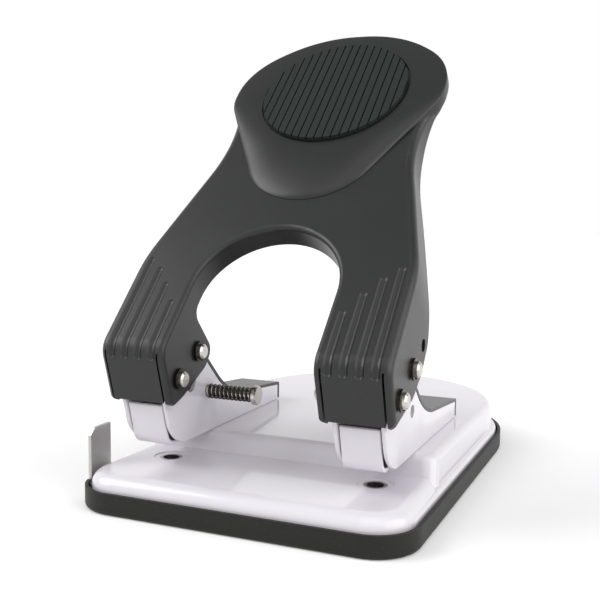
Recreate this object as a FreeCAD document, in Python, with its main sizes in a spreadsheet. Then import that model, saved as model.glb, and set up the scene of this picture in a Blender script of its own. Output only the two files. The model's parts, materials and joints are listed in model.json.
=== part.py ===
import FreeCAD, Part
import math
import os

import Sketcher

# Two-hole lever punch for thick stacks of paper.
# Row frame: X across the machine, Y towards the back, Z up, in millimetres.
# The origin lies on the table, midway between the two punch axes.
# The lever is drawn in its own frame (X across, U along the handle plate, N out of the plate) about the
# pivot pin, and is then tipped back to its rest angle.

Vector = FreeCAD.Vector
X_AXIS = Vector(1, 0, 0)
FAR = 300.0     # longer than any piece, for cutting tools that must run right through

DIMENSIONS = [
    # the sheet of paper that sets the scale
    ("hole_spacing", 80.0, "distance between the two holes"),
    ("punch_diameter", 6.0, "diameter of the holes"),
    # base
    ("deck_level", 13.1, "top of the front deck above the table"),
    ("platform_step", 7.5, "height of the platform above the deck, which is the throat"),
    ("step_line", 13.0, "front edge of the platform, the back stop of the paper"),
    ("base_sheet", 1.2, "sheet of the pressed base plate"),
    ("foot_inset", 2.1, "base plate outline inside the outline of the tray"),
    ("deck_edge_radius", 5.0, "rounding round the deck"),
    ("platform_edge_radius", 3.2, "rounding round the platform"),
    ("platform_draft", 2.2, "how far the step leans back over its height"),
    ("platform_lean", 1.5, "how far the side wall of the platform leans in over its height"),
    ("platform_corner", 5.0, "front corners of the platform"),
    ("waist_inset", 1.4, "upper wall inside the ledge, from the step to the rear"),
    ("ledge_top", 9.8, "narrow ledge along the sides and round the rear, above the table"),
    ("ledge_edge_radius", 1.6, "rounding of that ledge"),
    ("ledge_setback", 2.5, "front of that ledge behind the front of the deck"),
    ("dimple_diameter", 13.0, "coined ring round each die"),
    ("dimple_depth", 0.35, "depth of that ring"),
    ("die_diameter", 8.4, "die bush in the deck"),
    ("die_flange", 12.4, "flange of the die under the deck"),
    ("die_depth", 5.1, "height of the die"),
    # tray
    ("tray_half_width", 61.7, "half width of the chip tray"),
    ("tray_front", 34.5, "tray front ahead of the holes"),
    ("rear_centre", 103.0, "centre of the round rear end behind the holes"),
    ("tray_corner", 16.0, "radius of the front corners"),
    ("tray_height", 7.9, "rim above the table"),
    ("tray_floor", 1.5, "floor thickness"),
    ("tray_rim", 1.2, "rim thickness"),
    ("ledge_level", 6.0, "ledge that the base plate stands on"),
    ("ledge_width", 2.3, "width of that ledge"),
    ("tray_bottom_radius", 1.8, "rounding of the bottom edge"),
    ("smallest_corner", 2.0, "sharpest corner of any outline of the tray or the base"),
    # paper gauge
    ("gauge_width", 12.0, "width of the gauge strip"),
    ("gauge_line", 16.0, "centre of the strip ahead of the holes"),
    ("gauge_sheet", 1.2, "thickness of the strip"),
    ("gauge_level", 4.0, "underside of the strip above the table"),
    ("gauge_tab_inset", 1.7, "inner face of the upright tab inside the side of the tray"),
    ("gauge_tab_top", 26.1, "top of the tab above the table"),
    ("gauge_end_inset", 14.6, "inner end of the strip inside the far side of the tray"),
    ("gauge_clip", 2.4, "clipped corner of the tab"),
    ("gauge_stop_top", 10.4, "top of the bent-up inner end of the strip above the table"),
    ("guide_inset", 21.7, "inner end of the gauge guide inside the side of the tray"),
    ("guide_length", 12.0, "length of the gauge guide"),
    ("guide_wall", 1.6, "side walls of the gauge guide"),
    ("guide_floor", 1.0, "floor of the gauge guide"),
    # brackets
    ("bracket_width", 18.0, "outside width of a bracket channel"),
    ("bracket_sheet", 1.6, "sheet of the bracket"),
    ("bracket_rear", 75.9, "rear end of the bracket behind the holes"),
    ("channel_top_y", 0.3, "highest corner of the channel wall"),
    ("channel_top", 58.3, "top of the channel wall above the table"),
    ("knee_y", 28.7, "hollow knee in the top of the wall"),
    ("knee_level", 31.6, "height of the knee"),
    ("knee_radius", 38.0, "radius of the knee"),
    ("rear_top", 27.3, "top of the wall at the rear end"),
    ("chin_radius", 14.0, "rounding of the wall at the lower front"),
    ("lug_radius", 5.5, "round lug about the pivot pin"),
    ("flap_width", 14.2, "front flap between the walls"),
    ("flap_foot_y", 14.4, "foot of the flap ahead of the holes"),
    ("flap_top_y", 20.4, "top of the flap ahead of the holes"),
    ("flap_top", 37.8, "top edge of the flap above the table"),
    ("flap_bend", 5.0, "outer bend at the foot of the flap"),
    ("crown_radius", 3.0, "rounding of the top corners of the wall"),
    ("cover_sheet", 1.1, "sheet of the channel cover"),
    ("cover_front", 8.5, "front end of the cover"),
    ("cover_lip", 21.3, "lower end of the rear lip above the table"),
    ("screw_front_y", 36.0, "front bracket screw"),
    ("screw_rear_y", 62.0, "rear bracket screw"),
    ("screw_diameter", 4.0, "bracket screw"),
    ("screw_head", 2.2, "height of the screw head"),
    ("screw_length", 7.4, "length of the screw below its head"),
    # pins
    ("pivot_y", 15.5, "pivot pin ahead of the holes"),
    ("pivot_z", 46.1, "pivot pin above the table"),
    ("drive_radius", 15.5, "drive pin from the pivot pin"),
    ("drive_angle", 30.0, "drive pin above the horizontal at rest, degrees"),
    ("lever_swing", 48.0, "swing of the lever, degrees"),
    ("pin_diameter", 5.5, "pivot and drive pins"),
    ("pin_end", 2.67, "pin beyond the outer face of a leg"),
    ("pin_chamfer", 0.6, "chamfer of the pin ends"),
    ("groove_depth", 0.7, "clip groove depth"),
    ("clip_sheet", 0.7, "thickness of a retaining clip"),
    ("clip_diameter", 7.6, "outside diameter of a retaining clip"),
    # punch
    ("punch_rest", 21.8, "cutting end above the table at rest"),
    ("punch_head", 12.0, "diameter of the punch head"),
    ("head_height", 13.0, "height of the punch head"),
    ("guide_bore_depth", 3.6, "guide bush above the channel floor"),
    ("guide_diameter", 9.6, "guide bush in the channel floor"),
    ("spring_wire", 1.1, "wire of the punch spring"),
    ("spring_diameter", 9.4, "middle diameter of the punch spring"),
    # lock
    ("lock_y", 11.87, "lock plunger behind the holes"),
    ("lock_z", 36.5, "lock plunger above the table"),
    ("lock_rod", 4.0, "diameter of the plunger rod"),
    ("lock_hole", 4.6, "lock holes in brackets and lever"),
    ("lock_head", 7.2, "diameter of the plunger head"),
    ("lock_reach", 21.3, "free length of the plunger beside the bracket"),
    ("lock_head_length", 1.7, "length of the plunger head"),
    ("lock_wire", 0.7, "wire of the lock spring"),
    ("lock_coil", 4.9, "middle diameter of the lock spring"),
    # lever
    ("lever_tilt", 46.0, "rest angle of the handle plate, degrees"),
    ("lever_sheet", 2.15, "sheet of the lever"),
    ("plate_height", 16.6, "front face of the handle plate from the pivot axis"),
    ("leg_half_width", 12.83, "half width of one leg over its flanges"),
    ("neck_half_width", 39.4, "narrowest half width of the handle"),
    ("head_end", 167.0, "top end of the handle from the pivot axis"),
    ("arch_centre", 29.8, "centre of the round arch from the pivot axis"),
    ("arch_flange", 9.0, "depth of the flange round the arch"),
    ("front_bend", 8.0, "bend between handle plate and front flap"),
    ("flap_lean", 61.0, "turn from handle plate to front flap, degrees"),
    ("flap_drop", 1.2, "lower edge of the front flap below the pivot axis"),
    ("slit_width", 0.7, "slits beside the front flap"),
    ("rim_radius", 3.0, "rounding of the outer rim"),
    ("arch_radius", 1.7, "rounding of the arch rim"),
    ("flute_radius", 1.9, "radius of the pressed flutes"),
    ("flute_depth", 0.95, "depth of the flutes"),
    ("flute_pitch", 5.27, "spacing of the flutes on a leg"),
    # palm rest
    ("cap_thickness", 3.0, "palm cap over the handle plate"),
    ("cap_rounding", 5.0, "rounding of the palm cap"),
    ("cap_overlap", 0.6, "palm cap outside the rim of the head"),
    ("cap_crown", 0.6, "rise of the domed cap at the centre of the pad"),
    ("cap_dome", 1100.0, "radius of that dome"),
    ("head_half_width", 44.0, "half width of the head"),
    ("pad_centre", 129.2, "centre of the round pad from the pivot axis"),
    ("pad_diameter", 60.8, "diameter of the pad"),
    ("pad_proud", 1.6, "pad above the palm cap"),
    ("pad_sunk", 1.2, "pad sunk into the palm cap"),
    ("pad_edge", 0.5, "rounding of the pad"),
    ("peg_diameter", 5.1, "pegs that hold the palm cap"),
    ("peg_low", 40.0, "lower peg before the centre of the pad"),
    ("peg_high", 26.0, "upper peg beyond the centre of the pad"),
    ("peg_end", 1.2, "pegs below the handle plate"),
    # clearances
    ("running_clearance", 0.05, "radial, shaft in bore"),
    ("seat_clearance", 0.02, "radial, pressed or clamped pieces"),
    ("free_clearance", 0.3, "between pieces that only pass each other"),
]

document = FreeCAD.newDocument("lever_punch")
sheet = document.addObject("Spreadsheet::Sheet", "dims")
for row, (alias, size, note) in enumerate(DIMENSIONS, start=1):
    sheet.set("A%d" % row, note)
    sheet.set("B%d" % row, str(size))
    sheet.setAlias("B%d" % row, alias)
document.recompute()

d = {alias: float(sheet.get(alias)) for alias, _, _ in DIMENSIONS}
nodes = {}


# ---------------------------------------------------------------- helpers

def keep(label, piece):
    """Register a finished sub-part under its label."""
    piece.Label = label
    nodes[label] = piece
    return piece


def number(size):
    """The value of a size given as a number or as an expression on the sheet."""
    if isinstance(size, str):
        return float(sheet.evalExpression(size))
    return float(size)


def new_body(name, base=(0.0, 0.0, 0.0), rotation=None):
    """An empty body, placed by three sizes."""
    body = document.addObject("PartDesign::Body", name)
    if rotation:
        body.Placement = FreeCAD.Placement(Vector(), rotation)
    for letter, size in zip("xyz", base):
        body.setExpression("Placement.Base." + letter, str(size))
    return body


def new_sketch(body, name, role):
    """A sketch on one of the body's origin planes."""
    plane = [feature for feature in body.Origin.OriginFeatures if feature.Role == role][0]
    sketch = body.newObject("Sketcher::SketchObject", name)
    sketch.AttachmentSupport = [(plane, "")]
    sketch.MapMode = "FlatFace"
    return sketch


def fix_point(sketch, geometry, position, across, up):
    """Tie a sketch point to the sheet by its two coordinates."""
    for kind, size, axis in (("DistanceX", across, -2), ("DistanceY", up, -1)):
        value = number(size)
        if abs(value) < 1e-9:
            sketch.addConstraint(Sketcher.Constraint("PointOnObject", geometry, position, axis))
            continue
        index = sketch.addConstraint(Sketcher.Constraint(kind, -1, 1, geometry, position, value))
        if isinstance(size, str):
            sketch.setExpression("Constraints[%d]" % index, size)


def polygon(sketch, points):
    """A closed outline of straight lines through points given as sizes."""
    corners = [Vector(number(across), number(up), 0) for across, up in points]
    first = sketch.GeometryCount
    count = len(corners)
    for index in range(count):
        sketch.addGeometry(Part.LineSegment(corners[index], corners[(index + 1) % count]))
    for index in range(count):
        after = first + (index + 1) % count
        sketch.addConstraint(Sketcher.Constraint("Coincident", first + index, 2, after, 1))
    for index, (across, up) in enumerate(points):
        fix_point(sketch, first + index, 1, across, up)


def circle(sketch, across, up, radius):
    """A circle given by its centre and radius."""
    centre = Vector(number(across), number(up), 0)
    index = sketch.addGeometry(Part.Circle(centre, Vector(0, 0, 1), number(radius)))
    fix_point(sketch, index, 3, across, up)
    limit = sketch.addConstraint(Sketcher.Constraint("Radius", index, number(radius)))
    if isinstance(radius, str):
        sketch.setExpression("Constraints[%d]" % limit, radius)


def feature(body, kind, name, sketch, length, symmetric=True, reverse=False):
    """A pad or a pocket of a sketch."""
    result = body.newObject("PartDesign::" + kind, name)
    result.Profile = sketch
    result.SideType = "Symmetric" if symmetric else "One side"
    result.setExpression("Length", str(length))
    result.Reversed = reverse
    sketch.Visibility = False
    document.recompute()
    return result


def round_corners(body, name, corners, radius, axis=0):
    """Fillet the straight edges that run along an axis through the given corners."""
    tip = body.Tip
    others = [index for index in range(3) if index != axis]
    wanted = [tuple(number(size) for size in corner) for corner in corners]
    picked = []
    for index, edge in enumerate(tip.Shape.Edges, start=1):
        if len(edge.Vertexes) < 2:
            continue
        start, end = edge.Vertexes[0].Point, edge.Vertexes[-1].Point
        if any(abs(start[other] - end[other]) > 1e-5 for other in others):
            continue
        spot = tuple(start[other] for other in others)
        if any(math.dist(spot, corner) < 1e-3 for corner in wanted):
            picked.append("Edge%d" % index)
    fillet = body.newObject("PartDesign::Fillet", name)
    fillet.Base = (tip, picked)
    fillet.setExpression("Radius", str(radius))
    document.recompute()
    return fillet


def turned(name, profile, base, along_x=False):
    """A body of revolution; the profile holds (radius, height along the axis) pairs."""
    body = new_body(name, base)
    if along_x:
        sketch = new_sketch(body, name + "_profile", "XY_Plane")
        polygon(sketch, [(height, radius) for radius, height in profile])
        axis = "H_Axis"
    else:
        sketch = new_sketch(body, name + "_profile", "XZ_Plane")
        polygon(sketch, profile)
        axis = "V_Axis"
    turn = body.newObject("PartDesign::Revolution", name + "_turn")
    turn.Profile = sketch
    turn.ReferenceAxis = (sketch, [axis])
    turn.Angle = 360
    sketch.Visibility = False
    document.recompute()
    return body


def cylinder(name, radius, height, base, along_x=False):
    """A cylinder whose sizes and place are bound to the sheet."""
    result = document.addObject("Part::Cylinder", name)
    result.setExpression("Radius", str(radius))
    result.setExpression("Height", str(height))
    if along_x:
        result.Placement = FreeCAD.Placement(Vector(), FreeCAD.Rotation(Vector(0, 1, 0), 90))
    for letter, size in zip("xyz", base):
        result.setExpression("Placement.Base." + letter, str(size))
    return result


def block(name, lengths, base):
    """A box whose sizes and place are bound to the sheet."""
    result = document.addObject("Part::Box", name)
    for side, size in zip(("Length", "Width", "Height"), lengths):
        result.setExpression(side, str(size))
    for letter, size in zip("xyz", base):
        result.setExpression("Placement.Base." + letter, str(size))
    return result


def combine(kind, name, base, tool):
    """A boolean of two objects."""
    result = document.addObject("Part::" + kind, name)
    result.Base = base
    result.Tool = tool
    return result


def group(label, pieces):
    """Like pieces that share one node."""
    result = document.addObject("Part::Compound", label)
    result.Links = pieces
    return keep(label, result)


def corner_frames(corners):
    """For each (across, up, radius) corner: its point, the ways to its neighbours and the arc's reach."""
    frames = []
    count = len(corners)
    for index, (across, up, radius) in enumerate(corners):
        corner = Vector(across, up, 0)
        before = Vector(*corners[index - 1][:2], 0) - corner
        after = Vector(*corners[(index + 1) % count][:2], 0) - corner
        half_angle = before.getAngle(after) / 2
        frames.append([corner, before, after, half_angle, radius / math.tan(half_angle)])
    # two arcs that don't fit on one side both shrink until they meet
    for index, (_, _, after, _, reach) in enumerate(frames):
        following = frames[(index + 1) % count]
        room = after.Length / max(reach + following[4], 1e-9)
        if room < 1 - 1e-9:
            frames[index][4] *= room
            following[4] *= room
    return frames


def mirrored_outline(corners):
    """Right-hand corners from bottom to top, closed by their mirror image."""
    return corners + [(-across, up, radius) for across, up, radius in reversed(corners)]


def rounded_wire(corners, to_space):
    """A closed wire through (across, up, radius) corners, each rounded by a tangent arc."""
    arcs = []
    for corner, before, after, half_angle, reach in corner_frames(corners):
        if reach < 1e-6:
            arcs.append((corner, corner, corner))
            continue
        before.normalize()
        after.normalize()
        bisector = (before + after).normalize()
        depth = reach / math.cos(half_angle) - reach * math.tan(half_angle)
        arcs.append((corner + before * reach, corner + bisector * depth, corner + after * reach))
    edges = []
    for index, (start, middle, end) in enumerate(arcs):
        if start.distanceToPoint(end) > 1e-6:
            edges.append(Part.Arc(to_space(start), to_space(middle), to_space(end)).toShape())
        following = arcs[(index + 1) % len(arcs)][0]
        if end.distanceToPoint(following) > 1e-6:
            edges.append(Part.LineSegment(to_space(end), to_space(following)).toShape())
    return Part.Wire(edges)


def flat_prism(corners, low, high):
    """A rounded outline in X and Y, extruded from one height to another."""
    wire = rounded_wire(corners, lambda point: Vector(point.x, point.y, low))
    return Part.Face(wire).extrude(Vector(0, 0, high - low))


def side_prism(corners, half_width, centre=0.0):
    """A rounded outline in Y and Z, extruded across X."""
    wire = rounded_wire(corners, lambda point: Vector(centre - half_width, point.x, point.y))
    return Part.Face(wire).extrude(Vector(2 * half_width, 0, 0))


def edges_at_height(shape, height):
    """The edges that lie wholly at one height."""
    return [edge for edge in shape.Edges
            if all(abs(vertex.Z - height) < 1e-4 for vertex in edge.Vertexes)
            and abs(edge.BoundBox.ZMax - height) < 1e-3 and abs(edge.BoundBox.ZMin - height) < 1e-3]


def shaped(label, shape, placement=None):
    """A sub-part whose form is set directly."""
    result = document.addObject("Part::Feature", label)
    result.Shape = shape
    if placement:
        result.Placement = placement
    return keep(label, result)


def sides():
    """The two sides of the machine: name and sign of X."""
    return (("left", -1), ("right", 1))


def side_x(sign):
    """The punch axis of one side, as an expression."""
    return "%d * dims.hole_spacing / 2" % sign


# ---------------------------------------------------------------- base and tray

def d_outline(inset, setback=0.0):
    """The outline of the machine on the table: square front with round corners, semicircular rear."""
    half = d["tray_half_width"] - inset
    front = -d["tray_front"] + inset + setback
    rear = d["rear_centre"] + half
    corner = max(d["tray_corner"] - inset, d["smallest_corner"])
    return [(half, front, corner), (half, rear, half), (-half, rear, half), (-half, front, corner)]


def waist_half(inset):
    """Half width of the upper wall behind the step."""
    return d["tray_half_width"] - d["foot_inset"] - d["waist_inset"] - inset


def deck_outline(inset):
    """The deck narrows towards the step and runs on a little under the platform."""
    half = d["tray_half_width"] - d["foot_inset"] - inset
    front = -d["tray_front"] + d["foot_inset"] + inset
    waist = waist_half(inset)
    hidden = d["step_line"] + 2 * d["deck_edge_radius"]
    return mirrored_outline([(half, front, d["tray_corner"] - d["foot_inset"] - inset),
                             (waist, d["step_line"], 4 * d["deck_edge_radius"]),
                             (waist - d["deck_edge_radius"], hidden, d["smallest_corner"])])


def platform_outline(front, inset):
    """The raised platform: a straight step in front and a round rear."""
    half = waist_half(inset)
    rear = d["rear_centre"] + half
    return mirrored_outline([(half, front, d["platform_corner"]), (half, rear, half)])


def pressed_form(inset):
    """The base plate as a solid lump: the outside at inset 0, the inside at the sheet thickness."""
    deck = d["deck_level"] - inset
    platform = d["deck_level"] + d["platform_step"] - inset
    foot = d["ledge_level"] - (FAR / 10 if inset else 0.0)
    ledge = d["ledge_top"] - inset
    lower = flat_prism(d_outline(d["foot_inset"] + inset, d["ledge_setback"]), foot, ledge)
    lower = lower.makeFillet(d["ledge_edge_radius"] - min(inset, d["ledge_edge_radius"] / 2),
                             edges_at_height(lower, ledge))
    front = flat_prism(deck_outline(inset), foot, deck)
    front = front.makeFillet(d["deck_edge_radius"] - inset, edges_at_height(front, deck))
    slope = d["platform_draft"] / d["platform_step"]
    foot_front = d["step_line"] - slope * (deck - foot) + inset
    top_front = d["step_line"] + slope * (platform - deck) + inset
    bottom = rounded_wire(platform_outline(foot_front, inset), lambda point: Vector(point.x, point.y, foot))
    top = rounded_wire(platform_outline(top_front, inset + d["platform_lean"]),
                       lambda point: Vector(point.x, point.y, platform))
    upper = Part.makeLoft([bottom, top], True, True)
    upper = upper.makeFillet(d["platform_edge_radius"] - inset, edges_at_height(upper, platform))
    return lower.fuse([front, upper]).removeSplitter()


def base_plate():
    """Pressed steel base: low deck in front, raised platform behind, open underneath."""
    shape = pressed_form(0.0).cut(pressed_form(d["base_sheet"]))
    bore = d["die_diameter"] / 2 + d["seat_clearance"]
    for _, sign in sides():
        x = sign * d["hole_spacing"] / 2
        at_deck = Vector(x, 0, d["deck_level"] - d["dimple_depth"])
        floor_radius = d["dimple_diameter"] / 2 - d["dimple_depth"]
        shape = shape.cut(Part.makeCone(floor_radius, d["dimple_diameter"] / 2, d["dimple_depth"], at_deck))
        foot = Vector(x, 0, d["deck_level"] - d["die_depth"])
        shape = shape.cut(Part.makeCylinder(bore, 2 * d["die_depth"], foot))
        for y in (d["screw_front_y"], d["screw_rear_y"]):
            radius = d["screw_diameter"] / 2 + d["seat_clearance"]
            shape = shape.cut(Part.makeCylinder(radius, FAR, Vector(x, y, d["deck_level"])))
    shaped("base_plate", shape)


def chip_tray():
    """Soft tray under the base plate, with a ledge for it and a notch for the paper gauge."""
    tray = flat_prism(d_outline(0.0), 0.0, d["tray_height"])
    tray = tray.makeFillet(d["tray_bottom_radius"], edges_at_height(tray, 0.0))
    room = flat_prism(d_outline(d["tray_rim"] + d["ledge_width"]), d["tray_floor"], FAR)
    seat = flat_prism(d_outline(d["tray_rim"]), d["ledge_level"], FAR)
    notch_width = d["gauge_width"] + 5 * d["free_clearance"]
    notch = Part.makeBox(d["tray_rim"] + d["ledge_width"] + 2.0, notch_width, FAR,
                         Vector(-d["tray_half_width"] - 1.0, -d["gauge_line"] - notch_width / 2,
                                d["gauge_level"] - d["free_clearance"]))
    shaped("chip_tray", tray.cut(room).cut(seat).cut(notch))


def dies():
    """Hardened bushes in the deck that the punches shear against."""
    top = "dims.deck_level - dims.dimple_depth"
    under = "dims.deck_level - dims.base_sheet"
    foot = top + " - dims.die_depth"
    bore = "dims.punch_diameter / 2 + dims.running_clearance"
    relief = bore + " + 0.6"
    land = top + " - 3"
    for side, sign in sides():
        profile = [(bore, top), ("dims.die_diameter / 2", top), ("dims.die_diameter / 2", under),
                   ("dims.die_flange / 2", under), ("dims.die_flange / 2", under + " - 1.6"),
                   ("dims.die_diameter / 2", under + " - 1.6"), ("dims.die_diameter / 2", foot),
                   (relief, foot), (relief, land), (bore, land)]
        keep("die_" + side, turned("die_" + side, profile, (side_x(sign), 0, 0)))


# ---------------------------------------------------------------- paper gauge

def gauge():
    """Sliding paper stop: a strip under the deck with an upright tab at the left."""
    low = "dims.gauge_level"
    high = low + " + dims.gauge_sheet"
    inner = "dims.gauge_tab_inset - dims.tray_half_width"
    outer = inner + " - dims.gauge_sheet"
    stop = "dims.tray_half_width - dims.gauge_end_inset"
    stop_end = stop + " + dims.gauge_sheet"
    body = new_body("paper_gauge", (0, "-dims.gauge_line", 0))
    sketch = new_sketch(body, "gauge_profile", "XZ_Plane")
    polygon(sketch, [(outer, low), (stop_end, low), (stop_end, "dims.gauge_stop_top"),
                     (stop, "dims.gauge_stop_top"), (stop, high), (inner, high),
                     (inner, "dims.gauge_tab_top"), (outer, "dims.gauge_tab_top")])
    feature(body, "Pad", "gauge_strip", sketch, "dims.gauge_width")
    round_corners(body, "gauge_bends", [(outer, low), (stop_end, low)], "4 / 3 * dims.gauge_sheet", axis=1)
    tip = body.Tip
    corner = (-d["gauge_width"] / 2, d["gauge_tab_top"])
    names = ["Edge%d" % index for index, edge in enumerate(tip.Shape.Edges, start=1)
             if all(math.dist((vertex.Y, vertex.Z), corner) < 1e-3 for vertex in edge.Vertexes)]
    clip = body.newObject("PartDesign::Chamfer", "tab_corner")
    clip.Base = (tip, names)
    clip.setExpression("Size", "dims.gauge_clip")
    document.recompute()
    keep("paper_gauge", body)


def gauge_guide():
    """Hanger under the deck that the gauge strip slides through."""
    half = "(dims.gauge_width / 2 + dims.running_clearance)"
    under = "dims.deck_level - dims.base_sheet"
    low = "dims.gauge_level - dims.running_clearance"
    high = "dims.gauge_level + dims.gauge_sheet + dims.running_clearance"
    middle = "dims.guide_inset - dims.tray_half_width - dims.guide_length / 2"
    body = new_body("gauge_guide", (middle, "-dims.gauge_line", 0))
    sketch = new_sketch(body, "guide_profile", "YZ_Plane")
    outer = half + " + dims.guide_wall"
    other = "-" + half + " - dims.guide_wall"
    foot = low + " - dims.guide_floor"
    roof = high + " + dims.guide_floor"
    polygon(sketch, [(other, foot), (outer, foot), (outer, under), (half, under), (half, roof),
                     ("-" + half, roof), ("-" + half, under), (other, under)])
    feature(body, "Pad", "guide_frame", sketch, "dims.guide_length")
    window = new_sketch(body, "guide_window", "YZ_Plane")
    polygon(window, [("-" + half, low), (half, low), (half, high), ("-" + half, high)])
    feature(body, "Pocket", "guide_slot", window, "2 * dims.guide_length")
    keep("gauge_guide", body)


# ---------------------------------------------------------------- brackets

def front_line():
    """Foot and top of the straight front edge of a bracket wall, clear of the lever's flap."""
    flap_lean = math.radians(d["lever_tilt"] + 151.0)
    across, up = math.cos(flap_lean), math.sin(flap_lean)
    floor = d["deck_level"] + d["platform_step"]
    foot = (d["lug_radius"] - up * (floor - d["pivot_z"])) / across - d["pivot_y"]
    crown_lean = math.radians(130.0)
    determinant = across * math.sin(crown_lean) - up * math.cos(crown_lean)
    lug_y = d["lug_radius"] * (math.sin(crown_lean) - up) / determinant
    lug_z = d["lug_radius"] * (across - math.cos(crown_lean)) / determinant
    crown_z = d["channel_top"] - d["pivot_z"]
    crown_y = (d["lug_radius"] - math.sin(crown_lean) * crown_z) / math.cos(crown_lean)
    return ((foot, floor), (lug_y - d["pivot_y"], lug_z + d["pivot_z"]),
            (crown_y - d["pivot_y"], d["channel_top"]))


def arc_slot(sketch, half_width):
    """A slot that follows the drive pin about the pivot pin over the swing of the lever."""
    pivot = Vector(-d["pivot_y"], d["pivot_z"], 0)
    start = math.radians(d["drive_angle"] - d["lever_swing"])
    end = math.radians(d["drive_angle"])
    normal = Vector(0, 0, 1)
    ends = [pivot + Vector(math.cos(angle), math.sin(angle), 0) * d["drive_radius"] for angle in (start, end)]
    outer = Part.Circle(pivot, normal, d["drive_radius"] + half_width)
    inner = Part.Circle(pivot, normal, d["drive_radius"] - half_width)
    low_cap = Part.Circle(ends[0], normal, half_width)
    high_cap = Part.Circle(ends[1], normal, half_width)
    first = sketch.addGeometry(Part.ArcOfCircle(outer, start, end))
    sketch.addGeometry(Part.ArcOfCircle(high_cap, end, end + math.pi))
    sketch.addGeometry(Part.ArcOfCircle(inner, start, end))
    sketch.addGeometry(Part.ArcOfCircle(low_cap, start + math.pi, start + 2 * math.pi))
    for a, a_end, b, b_end in ((0, 2, 1, 1), (1, 2, 2, 2), (2, 1, 3, 1), (3, 2, 0, 1)):
        sketch.addConstraint(Sketcher.Constraint("Coincident", first + a, a_end, first + b, b_end))
    for index in range(4):
        sketch.addConstraint(Sketcher.Constraint("Block", first + index))


def bracket(side, sign):
    """Folded steel channel that carries the pins, the punch and the lock; its front flap is bent up."""
    foot, lug, crown = front_line()
    floor = "dims.deck_level + dims.platform_step"
    inside = floor + " + dims.bracket_sheet"
    body = new_body("bracket_" + side, (side_x(sign), 0, 0))
    walls = new_sketch(body, "walls_" + side, "YZ_Plane")
    polygon(walls, [(foot[0], floor), ("dims.bracket_rear", floor), ("dims.bracket_rear", "dims.rear_top"),
                    ("dims.knee_y", "dims.knee_level"), ("dims.channel_top_y", "dims.channel_top"),
                    (crown[0], "dims.channel_top"), lug])
    feature(body, "Pad", "channel_" + side, walls, "dims.bracket_width")
    round_corners(body, "chin_" + side, [foot], "dims.chin_radius")
    round_corners(body, "knee_" + side, [("dims.knee_y", "dims.knee_level")], "dims.knee_radius")
    round_corners(body, "lug_" + side, [lug], "dims.lug_radius")
    round_corners(body, "crown_" + side, [crown, ("dims.channel_top_y", "dims.channel_top")],
                  "dims.crown_radius")
    room = new_sketch(body, "room_" + side, "YZ_Plane")
    polygon(room, [(-FAR, inside), (FAR, inside), (FAR, FAR), (-FAR, FAR)])
    feature(body, "Pocket", "channel_room_" + side, room, "dims.bracket_width - 2 * dims.bracket_sheet")
    chin = new_sketch(body, "chin_gap_" + side, "YZ_Plane")
    polygon(chin, [(-FAR, 0.0), ("-dims.chin_radius / 4", 0.0), ("-dims.chin_radius / 4", inside),
                   (-FAR, inside)])
    feature(body, "Pocket", "chin_gap_cut_" + side, chin, "dims.bracket_width - 2 * dims.bracket_sheet")
    flap = new_sketch(body, "flap_" + side, "YZ_Plane")
    lean = math.atan2(d["flap_top_y"] - d["flap_foot_y"], d["flap_top"] - number(floor))
    thick = d["bracket_sheet"]
    inner_top = -d["flap_top_y"] + thick / math.cos(lean)
    inner_foot = inner_top + (d["flap_top"] - number(inside)) * math.tan(lean)
    polygon(flap, [("-dims.flap_foot_y", floor), (0.0, floor), (0.0, inside), (inner_foot, inside),
                   (inner_top, "dims.flap_top"), ("-dims.flap_top_y", "dims.flap_top")])
    feature(body, "Pad", "flap_sheet_" + side, flap, "dims.flap_width")
    round_corners(body, "flap_bend_" + side, [("-dims.flap_foot_y", floor)], "dims.flap_bend")
    round_corners(body, "flap_hollow_" + side, [(inner_foot, inside)], "dims.flap_bend - dims.bracket_sheet")
    holes = new_sketch(body, "pin_holes_" + side, "YZ_Plane")
    circle(holes, "-dims.pivot_y", "dims.pivot_z", "dims.pin_diameter / 2 + dims.seat_clearance")
    circle(holes, "dims.lock_y", "dims.lock_z", "dims.lock_hole / 2")
    feature(body, "Pocket", "pin_holes_cut_" + side, holes, "2 * dims.bracket_width")
    slot = new_sketch(body, "drive_slot_" + side, "YZ_Plane")
    arc_slot(slot, d["pin_diameter"] / 2 + d["free_clearance"])
    feature(body, "Pocket", "drive_slot_cut_" + side, slot, "2 * dims.bracket_width")
    floor_holes = new_sketch(body, "floor_holes_" + side, "XY_Plane")
    circle(floor_holes, 0.0, 0.0, "dims.guide_diameter / 2 + dims.seat_clearance")
    for place in ("dims.screw_front_y", "dims.screw_rear_y"):
        circle(floor_holes, 0.0, place, "dims.screw_diameter / 2 + dims.seat_clearance")
    feature(body, "Pocket", "floor_holes_cut_" + side, floor_holes, "2 * (" + inside + " + 0.5)")
    keep("bracket_" + side, body)


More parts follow.
